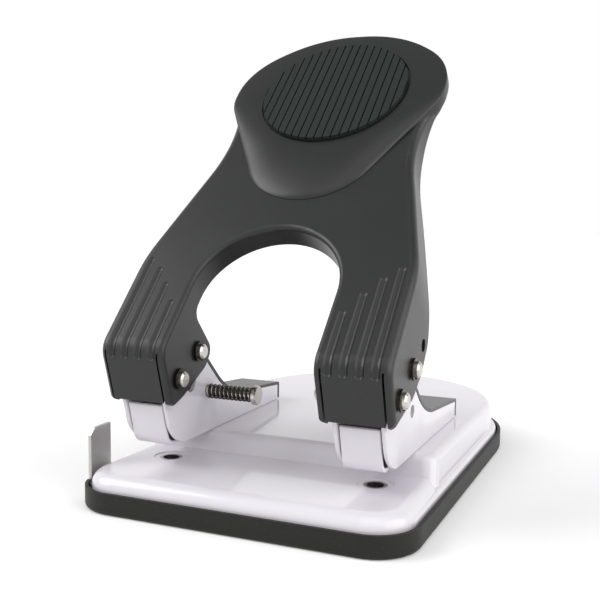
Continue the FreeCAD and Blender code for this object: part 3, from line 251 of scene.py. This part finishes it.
def start_material(name, group, values, bump, metallic=0.0, specular=0.5, coat=0.0, coat_roughness=0.1):
    """A Principled material fed by one of the shared groups."""
    material = bpy.data.materials.new(name)
    material.use_nodes = True
    g = Graph(material.node_tree)
    shader = material.node_tree.nodes["Principled BSDF"]
    surface = g.add("ShaderNodeGroup")
    surface.node_tree = group
    for label, value in values.items():
        surface.inputs[label].default_value = value
    g.link(surface.outputs["Colour"], shader.inputs["Base Color"])
    g.link(surface.outputs["Roughness"], shader.inputs["Roughness"])
    shader.inputs["Metallic"].default_value = metallic
    shader.inputs["Specular IOR Level"].default_value = specular
    shader.inputs["Coat Weight"].default_value = coat
    shader.inputs["Coat Roughness"].default_value = coat_roughness
    relief = g.add("ShaderNodeBump")
    relief.inputs["Distance"].default_value = bump
    relief.inputs["Strength"].default_value = 1.0
    g.link(surface.outputs["Height"], relief.inputs["Height"])
    g.link(relief.outputs[0], shader.inputs["Normal"])
    return material


def coated(name, colour, drift, grain_scale, grain, roughness, spread, dust, bump, **gloss):
    """A sprayed or moulded finish."""
    values = {"Colour": tint(colour), "Drift": drift, "Grain Scale": grain_scale, "Grain": grain,
              "Roughness": roughness, "Spread": spread, "Dust": dust}
    return start_material(name, COAT_GROUP, values, bump, **gloss)


def bare(name, colour, stretch, line_scale, lines, roughness, stain, bump):
    """A bare metal finish."""
    values = {"Colour": tint(colour), "Stretch": stretch, "Line Scale": line_scale, "Lines": lines,
              "Roughness": roughness, "Stain": stain}
    return start_material(name, METAL_GROUP, values, bump, metallic=1.0)


def make_materials():
    """One material for each finish of the machine, by its slot."""
    return {
        "gloss_white": coated(
            "white_enamel", "#e2dee5", drift=0.03, grain_scale=420.0, grain=0.5, roughness=0.16,
            spread=0.05, dust=0.01, bump=0.02 * MM, specular=0.5, coat=0.4, coat_roughness=0.06),
        "charcoal_enamel": coated(
            "charcoal_enamel", "#181919", drift=0.10, grain_scale=1500.0, grain=0.7, roughness=0.36,
            spread=0.08, dust=0.02, bump=0.02 * MM, specular=0.5),
        "charcoal_plastic": coated(
            "charcoal_moulding", "#141515", drift=0.08, grain_scale=2600.0, grain=0.8, roughness=0.34,
            spread=0.06, dust=0.02, bump=0.02 * MM, specular=0.5),
        "pad_rubber": coated(
            "ribbed_rubber", "#222827", drift=0.12, grain_scale=3200.0, grain=1.0, roughness=0.62,
            spread=0.08, dust=0.05, bump=0.03 * MM, specular=0.2),
        "tray_rubber": coated(
            "tray_moulding", "#1f1f1c", drift=0.12, grain_scale=2200.0, grain=1.0, roughness=0.5,
            spread=0.08, dust=0.04, bump=0.03 * MM, specular=0.25),
        "grey_sheet": coated(
            "grey_enamel", "#3d3a3b", drift=0.06, grain_scale=1500.0, grain=0.6, roughness=0.35,
            spread=0.06, dust=0.02, bump=0.02 * MM, specular=0.45),
        "hard_steel": bare(
            "ground_steel", "#a3a19c", stretch=(1, 1, 8), line_scale=900.0, lines=0.5, roughness=0.28,
            stain=0.2, bump=0.01 * MM),
        "nickel": bare(
            "nickel_plate", "#c9c5bd", stretch=(1, 1, 1), line_scale=700.0, lines=0.4, roughness=0.2,
            stain=0.12, bump=0.01 * MM),
        "black_spring_steel": bare(
            "black_spring_steel", "#3d3833", stretch=(1, 1, 1), line_scale=900.0, lines=0.5, roughness=0.3,
            stain=0.35, bump=0.01 * MM),
        "brushed_gauge": bare(
            "brushed_gauge", "#bfbfba", stretch=(0.06, 0.06, 1.6), line_scale=1500.0, lines=0.8,
            roughness=0.36, stain=0.05, bump=0.02 * MM)}


# ---------------------------------------------------------------- outlines

def rounded_outline(corners, count):
    """Evenly spaced points along a closed outline of (across, up, radius) corners."""
    arc_steps = 48
    arcs = []
    sides = []
    for index, (across, up, radius) in enumerate(corners):
        corner = Vector((across, up))
        before = Vector(corners[index - 1][:2]) - corner
        after = Vector(corners[(index + 1) % len(corners)][:2]) - corner
        half = before.angle(after) / 2
        arcs.append([corner, before.normalized(), after.normalized(), half, radius / math.tan(half)])
        sides.append(after.length)
    # two arcs that do not fit on one side shrink until they meet
    for index, side in enumerate(sides):
        following = arcs[(index + 1) % len(arcs)]
        room = side / (arcs[index][4] + following[4])
        if room < 1:
            arcs[index][4] *= room
            following[4] *= room
    points = []
    for corner, before, after, half, reach in arcs:
        centre = corner + (before + after).normalized() * (reach / math.cos(half))
        start = corner + before * reach - centre
        sweep = math.pi - 2 * half
        turn = 1 if start.to_3d().cross((corner + after * reach - centre).to_3d()).z > 0 else -1
        for step in range(arc_steps + 1):
            angle = turn * sweep * step / arc_steps
            points.append(centre + Matrix.Rotation(angle, 2) @ start)
    return even_steps(points, count)


def even_steps(points, count):
    """The same closed line with evenly spaced points."""
    lengths = [0.0]
    for index, point in enumerate(points):
        lengths.append(lengths[-1] + (points[(index + 1) % len(points)] - point).length)
    placed = []
    index = 0
    for step in range(count):
        target = lengths[-1] * step / count
        while lengths[index + 1] < target:
            index += 1
        share = (target - lengths[index]) / max(lengths[index + 1] - lengths[index], 1e-9)
        placed.append(points[index].lerp(points[(index + 1) % len(points)], share))
    return placed


def mirrored(corners):
    """Right-hand corners closed by their mirror image."""
    return corners + [(-across, up, radius) for across, up, radius in reversed(corners)]


def inward(points, distance):
    """A closed anticlockwise line moved inward."""
    moved = []
    for index, point in enumerate(points):
        along = points[(index + 1) % len(points)] - points[index - 1]
        moved.append(point + Vector((-along.y, along.x)).normalized() * distance)
    return moved


def arc(centre, radius, start, end, steps):
    """Points along an arc, both ends included."""
    angles = [start + (end - start) * step / steps for step in range(steps + 1)]
    return [Vector(centre) + Vector((math.cos(angle), math.sin(angle))) * radius for angle in angles]


def round_hole(centre, radius):
    """Points round a full circle."""
    return arc(centre, radius, 0.0, 2 * math.pi, 48)[:-1]


def cap_outline():
    """The palm cap seen square on."""
    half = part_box("palm_cap")[1][0]
    nose = (0.0, 0.243 * HANDLE_END, 27 * MM)
    cheek = (half, 0.743 * HANDLE_END, 20 * MM)
    shoulder = (half, 0.875 * HANDLE_END, 31 * MM)
    crown = (0.413 * half, HANDLE_END + 0.6 * MM, 47 * MM)
    return rounded_outline([nose] + mirrored([cheek, shoulder, crown]), 240)


def head_outline():
    """The lever's steel seen square on: wide at the legs, a waist, and the round head under the cap."""
    legs = (52.85 * MM, 0.25 * HANDLE_END, 60 * MM)
    waist = (38.3 * MM, 0.623 * HANDLE_END, 72 * MM)
    shoulder = (47.8 * MM, 0.8545 * HANDLE_END, 31.4 * MM)
    crown = (18.2 * MM, HANDLE_END, 48 * MM)
    return rounded_outline(mirrored([legs, waist, shoulder, crown]), 480)


def wall_outline(rear, floor, top):
    """A bracket's wall from the side: a low tail that sweeps up to the ear with the pivot."""
    toe = (-13.455 * MM, floor, 14 * MM)
    heel = (rear, floor, 0.4 * MM)
    tail = (rear, 27.3 * MM, 0.4 * MM)
    sweep = (28.7 * MM, 31.6 * MM, 38 * MM)
    ear = (0.3 * MM, top, 3 * MM)
    brow = (-9.517 * MM, top, 3 * MM)
    chin = (-21.824 * MM, 47.973 * MM, 5.5 * MM)
    return rounded_outline([toe, heel, tail, sweep, ear, brow, chin], 320)


def flap_outline(floor):
    """A bracket's front flap from the side: an L that curls up out of the floor and leans forward."""
    inside = floor + BRACKET_SHEET
    heel = (FLAP_FOOT, floor, 5 * MM)
    end = (FLOOR_START, floor, 0.1 * MM)
    inner_end = (FLOOR_START, inside, 0.1 * MM)
    inner_heel = (FLAP_FOOT + 1.2 * MM, inside, 3.4 * MM)
    inner_head = (FLAP_HEAD + 1.67 * MM, FLAP_TOP, 0.7 * MM)
    head = (FLAP_HEAD, FLAP_TOP, 0.7 * MM)
    return rounded_outline([heel, end, inner_end, inner_heel, inner_head, head], 160)


def drive_slot():
    """Curved slot that the drive pin follows about the pivot."""
    low, high = DRIVE_ANGLE - LEVER_SWING, DRIVE_ANGLE
    pivot = PIVOT.yz
    low_end, high_end = arc(pivot, DRIVE_REACH, low, high, 1)
    far = arc(pivot, DRIVE_REACH + SLOT_HALF, low, high, 16)
    over = arc(high_end, SLOT_HALF, high, high + math.pi, 12)
    near = arc(pivot, DRIVE_REACH - SLOT_HALF, high, low, 16)
    under = arc(low_end, SLOT_HALF, low + math.pi, low + 2 * math.pi, 12)
    return far + over[1:] + near[1:] + under[1:-1]


# ---------------------------------------------------------------- pieces

def finish_piece(name, bm, material, body, crease):
    """Turn a bmesh into a piece that rides on a body, with sharp edges past a crease angle in degrees."""
    mesh = bpy.data.meshes.new(name)
    bm.to_mesh(mesh)
    bm.free()
    mesh.materials.append(material)
    mesh.shade_smooth()
    mesh.set_sharp_from_angle(angle=math.radians(crease))
    piece = bpy.data.objects.new(name, mesh)
    bpy.context.scene.collection.objects.link(piece)
    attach(piece, body)
    return piece


def ring(bm, points, heights):
    """A closed ring of vertices through points at their own heights."""
    return [bm.verts.new((point.x, point.y, height)) for point, height in zip(points, heights)]


def loft(bm, first, rows):
    """Skin that runs from a ring over further rows of points and heights; returns the last ring."""
    for points, heights in rows:
        following = ring(bm, points, heights)
        for index in range(len(first)):
            # corner to corner, where bridge_loops would join each to its nearest and twist the skin
            bm.faces.new((first[index - 1], first[index], following[index], following[index - 1]))
        first = following
    return first


def steel_height(point, outline):
    """Height of the handle's rounded face under a point of the cap."""
    index = min(range(len(outline)), key=lambda spot: (outline[spot] - point).length_squared)
    along = outline[(index + 1) % len(outline)] - outline[index - 1]
    outward = Vector((along.y, -along.x)).normalized()
    inside = (outline[index] - point).dot(outward)
    if inside >= PLATE_RIM:
        return PLATE_FACE
    drop = PLATE_RIM - math.sqrt(max(PLATE_RIM ** 2 - (PLATE_RIM - max(inside, 0.0)) ** 2, 0.0))
    return PLATE_FACE - drop


def cap_height(up):
    """Height of the palm rest: level over its nose, then leaning back towards the end of the handle."""
    softness = 8 * MM
    beyond = up - (PAD_CENTRE - PAD_RADIUS)
    return CAP_FACE - math.tan(CAP_LEAN) * (beyond + math.hypot(beyond, softness)) / 2


def rim_height(up):
    """Height of the cap's rim: a fine lip along the nose that grows to the full edge round the head."""
    start, stretch = 0.5 * HANDLE_END, 0.35 * HANDLE_END
    share = min(max((up - start) / stretch, 0.0), 1.0)
    share = share * share * (3 - 2 * share)
    lip = PLATE_FACE + CAP_LIP
    return lip + share * (cap_height(up) - CAP_CROWN - lip)


def palm_cap(material):
    """Palm rest: a soft nose with a fine lip, and a crisp edge round the head of the handle."""
    tuck, sunk, bite = 1.6 * MM, 0.5 * MM, 0.15 * MM
    corner = ((0.0, CAP_CORNER), (0.3 * CAP_CORNER, 0.3 * CAP_CORNER), (CAP_CORNER, 0.0))     # inset, drop
    steps, crowding, fullness = 14, 1.7, 0.62
    moat = PAD_RADIUS + 0.9 * MM
    moat_depth = 0.8 * MM
    seat_wall = ((moat - 0.15 * MM, 0.2 * MM), (moat - 0.2 * MM, moat_depth),
                 (PAD_RADIUS - 1.5 * MM, moat_depth))                                         # radius, drop
    outline = cap_outline()
    steel = head_outline()
    centre = Vector((0, PAD_CENTRE))
    rays = [(point - centre).normalized() for point in outline]
    moat_edge = [centre + ray * moat for ray in rays]
    rims = [rim_height(point.y) for point in outline]

    rows = [(outline, [steel_height(point, steel) - bite for point in outline])]
    for inset, drop in corner:
        points = [point + (inner - point).normalized() * inset for point, inner in zip(outline, moat_edge)]
        rows.append((points, [rim - drop for rim in rims]))
    rim_line = points
    for step in range(1, steps + 1):
        # rows crowd near the rim, where the nose turns down fastest
        share = (step / steps) ** crowding
        rise = (1 - (1 - share) ** 2) ** fullness
        points = [point.lerp(inner, share) for point, inner in zip(rim_line, moat_edge)]
        rows.append((points, [rim + (cap_height(point.y) - rim) * rise for point, rim in zip(points, rims)]))
    for radius, drop in seat_wall:
        points = [centre + ray * radius for ray in rays]
        rows.append((points, [cap_height(point.y) - drop for point in points]))

    bm = bmesh.new()
    tucked = [point - ray * tuck for point, ray in zip(outline, rays)]
    hidden = ring(bm, tucked, [steel_height(point, steel) - sunk for point in tucked])
    for opening in (loft(bm, hidden, rows), hidden):
        bm.faces.new(opening)
    cap_pegs(bm)
    bmesh.ops.recalc_face_normals(bm, faces=bm.faces[:])
    bmesh.ops.transform(bm, matrix=LEVER_FRAME, verts=bm.verts[:])
    piece = finish_piece("palm_cap_dome", bm, material, "lever_arm", 50)
    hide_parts("palm_cap")


def cap_pegs(bm):
    """The two pegs that pass through the steel."""
    radius, length = 2.55 * MM, 3.0 * MM
    places = (-40 * MM, 26 * MM)         # up the handle from the middle of the pad
    for place in places:
        peg = bmesh.ops.create_cone(bm, cap_ends=True, segments=32, radius1=radius, radius2=radius,
                                    depth=length)
        bmesh.ops.translate(bm, verts=peg["verts"], vec=(0, PAD_CENTRE + place, PLATE_FACE - length / 2))


def palm_pad(material):
    """Round rubber pad with straight grooves that run up the handle."""
    lines_each_side = 9
    pitch = 3.3 * MM
    groove = 0.55 * MM
    depth = 0.9 * MM
    seat = 0.85 * MM             # how far the pad reaches into the cap's recess
    tall = PAD_TOP - CAP_FACE + seat
    bm = bmesh.new()
    bmesh.ops.create_circle(bm, cap_ends=True, segments=144, radius=PAD_RADIUS)
    for inset, rise in PAD_RIM:
        bmesh.ops.inset_region(bm, faces=[max(bm.faces, key=lambda face: face.calc_area())],
                               thickness=inset, use_even_offset=True)
        top = max(bm.faces, key=lambda face: face.calc_area())
        bmesh.ops.translate(bm, verts=top.verts[:], vec=(0, 0, rise))
    for line in range(-lines_each_side, lines_each_side + 1):
        for side in (-0.5, 0.5):
            place = Vector((line * pitch + side * groove, 0, 0))
            bmesh.ops.bisect_plane(bm, geom=bm.verts[:] + bm.edges[:] + bm.faces[:], plane_co=place,
                                   plane_no=(1, 0, 0), dist=1e-7)
    rim = [edge for edge in bm.edges if edge.is_boundary]
    for item in bmesh.ops.extrude_edge_only(bm, edges=rim)["geom"]:
        if isinstance(item, bmesh.types.BMVert):
            item.co.z = PAD_RISE - tall
    sunk = []
    for face in bm.faces:
        across = face.calc_center_median().x
        if face.normal.z > 0.3 and abs(across - round(across / pitch) * pitch) < groove / 2:
            sunk.append(face)
    floor = bmesh.ops.extrude_face_region(bm, geom=sunk)["geom"]
    bmesh.ops.translate(bm, verts=[item for item in floor if isinstance(item, bmesh.types.BMVert)],
                        vec=(0, 0, -depth))
    bmesh.ops.delete(bm, geom=sunk, context="FACES")
    below_grooves = -depth - 0.1 * MM
    bottom = [edge for edge in bm.edges if edge.is_boundary and edge.verts[0].co.z < below_grooves]
    bmesh.ops.contextual_create(bm, geom=bottom)
    bmesh.ops.recalc_face_normals(bm, faces=bm.faces[:])
    top = cap_height(PAD_CENTRE) + PAD_TOP - CAP_FACE
    place = Matrix.Translation((0, PAD_CENTRE, top - PAD_RISE)) @ Matrix.Rotation(-CAP_LEAN, 4, "X")
    bmesh.ops.transform(bm, matrix=LEVER_FRAME @ place, verts=bm.verts[:])
    piece = finish_piece("ribbed_pad", bm, material, "lever_arm", 30)
    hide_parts("palm_pad")


def sheet(bm, outline, holes, thick, soft, place):
    """A flat sheet with a softened rim and clean openings, laid out by a matrix."""
    start = len(bm.verts)
    rim = ((soft, 0.0), (0.3 * soft, 0.3 * soft), (0.0, soft))               # inset and height of each row
    rim += tuple((inset, thick - height) for inset, height in reversed(rim))
    rows = [(inward(outline, inset), [height] * len(outline)) for inset, height in rim]
    first = ring(bm, *rows[0])
    bottom, top = [first], [loft(bm, first, rows[1:])]
    for hole in holes:
        bottom.append(ring(bm, hole, [0.0] * len(hole)))
        top.append(loft(bm, bottom[-1], [(hole, [thick] * len(hole))]))
    for rings in (bottom, top):
        edges = [bm.edges.get((corners[index - 1], corners[index]))
                 for corners in rings for index in range(len(corners))]
        bmesh.ops.triangle_fill(bm, use_beauty=True, use_dissolve=False, edges=edges, normal=(0, 0, 1))
    bm.verts.ensure_lookup_table()
    bmesh.ops.transform(bm, matrix=place, verts=bm.verts[start:])


def channel_bracket(name, node, material):
    """Folded channel: two walls with soft enamelled edges, a floor and a front flap set just inside them."""
    (left, _, floor), (right, rear, top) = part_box(node)
    across = (left + right) / 2
    half = (right - left) / 2
    side_view = Matrix(((0, 0, 1, 0), (1, 0, 0, 0), (0, 1, 0, 0), (0, 0, 0, 1)))     # its x, y are y, z here
    bm = bmesh.new()
    lock_place = joints["lock_push"]["pos_m"][1:]
    holes = [round_hole(PIVOT.yz, PIVOT_BORE), round_hole(lock_place, LOCK_BORE), drive_slot()]
    wall = wall_outline(rear, floor, top)
    for start in (left, right - BRACKET_SHEET):
        sheet(bm, wall, holes, BRACKET_SHEET, WALL_SOFTNESS, Matrix.Translation((start, 0, 0)) @ side_view)
    flap_place = Matrix.Translation((across - FLAP_WIDTH / 2, 0, 0)) @ side_view
    sheet(bm, flap_outline(floor), [], FLAP_WIDTH, FLAP_SOFTNESS, flap_place)
    inside = half - BRACKET_SHEET
    base = rounded_outline([(-inside, FLOOR_START, 0.1 * MM), (inside, FLOOR_START, 0.1 * MM),
                            (inside, rear, 0.1 * MM), (-inside, rear, 0.1 * MM)], 200)
    bores = [round_hole((0, 0), PUNCH_BORE)] + [round_hole((0, place), SCREW_BORE) for place in SCREW_PLACES]
    sheet(bm, base, bores, BRACKET_SHEET, FLOOR_SOFTNESS, Matrix.Translation((across, 0, floor)))
    bmesh.ops.recalc_face_normals(bm, faces=bm.faces[:])
    piece = finish_piece(name, bm, material, "base", 35)
    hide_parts(node)


def lever_sheet():
    """The lever without the hair-thin fins that cross its flutes where they reach the front bend."""
    mesh = frame["nodes"]["lever"].data.copy()
    piece = bpy.data.objects.new("lever_sheet", mesh)
    bpy.context.scene.collection.objects.link(piece)
    bm = bmesh.new()
    bm.from_mesh(mesh)
    flat = LEVER_FRAME.inverted()
    near = {}
    for vertex in bm.verts:
        spot = flat @ vertex.co
        if abs(spot.y - BEND_START) < FIN_SLACK and spot.z > PLATE_FACE - FLUTE_REACH:
            near[vertex] = spot
    fins = [face for face in bm.faces if all(vertex in near for vertex in face.verts)]
    bmesh.ops.delete(bm, geom=fins, context="FACES_ONLY")
    # the two sides of each removed fin close up on the bend's start
    for vertex, spot in near.items():
        if vertex.is_valid:
            vertex.co = LEVER_FRAME @ Vector((spot.x, BEND_START, spot.z))
    bm.to_mesh(mesh)
    bm.free()
    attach(piece, "lever_arm")
    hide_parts("lever")


def coil(name, node, slide):
    """A copy of a spring that rides with a sliding part."""
    joint = joints[slide]
    piece = bpy.data.objects.new(name, frame["nodes"][node].data.copy())
    bpy.context.scene.collection.objects.link(piece)
    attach(piece, joint["child"])
    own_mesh(piece)
    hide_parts(node)


# ---------------------------------------------------------------- stage

def make_world():
    """White to the camera; reflections see a white horizon that dims overhead, the rest an even sky."""
    world = bpy.data.worlds.new("studio")
    bpy.context.scene.world = world
    world.use_nodes = True
    g = Graph(world.node_tree)
    background = world.node_tree.nodes["Background"]
    split = g.add("ShaderNodeSeparateXYZ")
    g.link(g.add("ShaderNodeTexCoord").outputs["Generated"], split.inputs[0])
    reflected = g.ramp(split.outputs[2], HORIZON_HEIGHT, CEILING_HEIGHT, HORIZON_GLOSS, CEILING_GLOSS)
    path = g.add("ShaderNodeLightPath").outputs
    gloss = g.math("MULTIPLY", path["Is Glossy Ray"], reflected)
    seen = g.math("MAXIMUM", path["Is Camera Ray"], path["Is Transmission Ray"])
    # no ray sees less than the even sky, so the reflected ceiling ends at that level too
    g.link(g.math("MAXIMUM", g.math("MAXIMUM", seen, gloss), SKY_LIGHT), background.inputs["Strength"])
    background.inputs["Color"].default_value = (1, 1, 1, 1)


def make_floor():
    """Pale floor that keeps the object's shadow and glows a little to the camera and in reflections."""
    bm = bmesh.new()
    bmesh.ops.create_grid(bm, x_segments=1, y_segments=1, size=3.0)
    mesh = bpy.data.meshes.new("floor")
    bm.to_mesh(mesh)
    bm.free()
    floor = bpy.data.objects.new("floor", mesh)
    bpy.context.scene.collection.objects.link(floor)
    material = bpy.data.materials.new("floor_paper")
    material.use_nodes = True
    g = Graph(material.node_tree)
    nodes = material.node_tree.nodes
    shader = nodes["Principled BSDF"]
    shader.inputs["Base Color"].default_value = (0.9, 0.9, 0.9, 1)
    shader.inputs["Roughness"].default_value = 0.9
    shader.inputs["Specular IOR Level"].default_value = 0.0
    glow = g.add("ShaderNodeEmission")
    glow.inputs["Strength"].default_value = FLOOR_GLOW
    both = g.add("ShaderNodeAddShader")
    g.link(shader.outputs[0], both.inputs[0])
    g.link(glow.outputs[0], both.inputs[1])
    path = g.add("ShaderNodeLightPath").outputs
    seen = g.math("MAXIMUM", g.math("MAXIMUM", path["Is Camera Ray"], path["Is Glossy Ray"]),
                  path["Is Transmission Ray"])
    choice = g.add("ShaderNodeMixShader")
    g.link(seen, choice.inputs[0])
    g.link(shader.outputs[0], choice.inputs[1])
    g.link(both.outputs[0], choice.inputs[2])
    g.link(choice.outputs[0], nodes["Material Output"].inputs["Surface"])
    mesh.materials.append(material)


def lamp(name, toward, spread, strength):
    """A broad soft lamp far away, in the direction given, with its spread in degrees."""
    data = bpy.data.lights.new(name, "SUN")
    data.angle = math.radians(spread)
    data.energy = strength
    holder = bpy.data.objects.new(name, data)
    holder.rotation_euler = Vector(toward).to_track_quat("Z", "Y").to_euler()
    bpy.context.scene.collection.objects.link(holder)


def make_camera():
    """The camera stands low, in front and to the right."""
    place = (0.1330, -0.2845, 0.1074)
    yaw, pitch, roll = math.radians(23.116), math.radians(6.111), math.radians(0.584)
    ahead = Vector((-math.sin(yaw) * math.cos(pitch), math.cos(yaw) * math.cos(pitch), -math.sin(pitch)))
    level = Vector((math.cos(yaw), math.sin(yaw), 0))
    upright = level.cross(ahead)
    right = level * math.cos(roll) + upright * math.sin(roll)
    up = upright * math.cos(roll) - level * math.sin(roll)
    data = bpy.data.cameras.new("camera")
    data.lens = 54.25
    data.sensor_width = 36.0
    data.clip_start = 10 * MM
    camera = bpy.data.objects.new("camera", data)
    turn = Matrix((right, up, -ahead)).transposed().to_4x4()
    camera.matrix_world = Matrix.Translation(place) @ turn
    bpy.context.scene.collection.objects.link(camera)
    bpy.context.scene.camera = camera


# ---------------------------------------------------------------- build

bpy.context.scene.view_settings.view_transform = "Standard"
materials = make_materials()
for part in frame["record"]["subparts"]:
    node = frame["nodes"][part["node"]]
    node.data.materials.clear()
    node.data.materials.append(materials[part["material_slot"]])
lever_sheet()
palm_cap(materials["charcoal_plastic"])
palm_pad(materials["pad_rubber"])
for side in ("left", "right"):
    channel_bracket("channel_" + side, "bracket_" + side, materials["gloss_white"])
for side in ("left", "right"):
    coil("return_coil_" + side, "punch_spring_" + side, "punch_slide_" + side)
coil("lock_coil", "lock_spring", "lock_push")
make_world()
make_floor()
lamp("key", (-0.75, -0.33, 0.59), 42, 1.5)
lamp("front", (0.2, -0.5, 0.84), 60, 0.8)
lamp("side", (0.9, -0.05, 0.38), 60, 1.5)
make_camera()
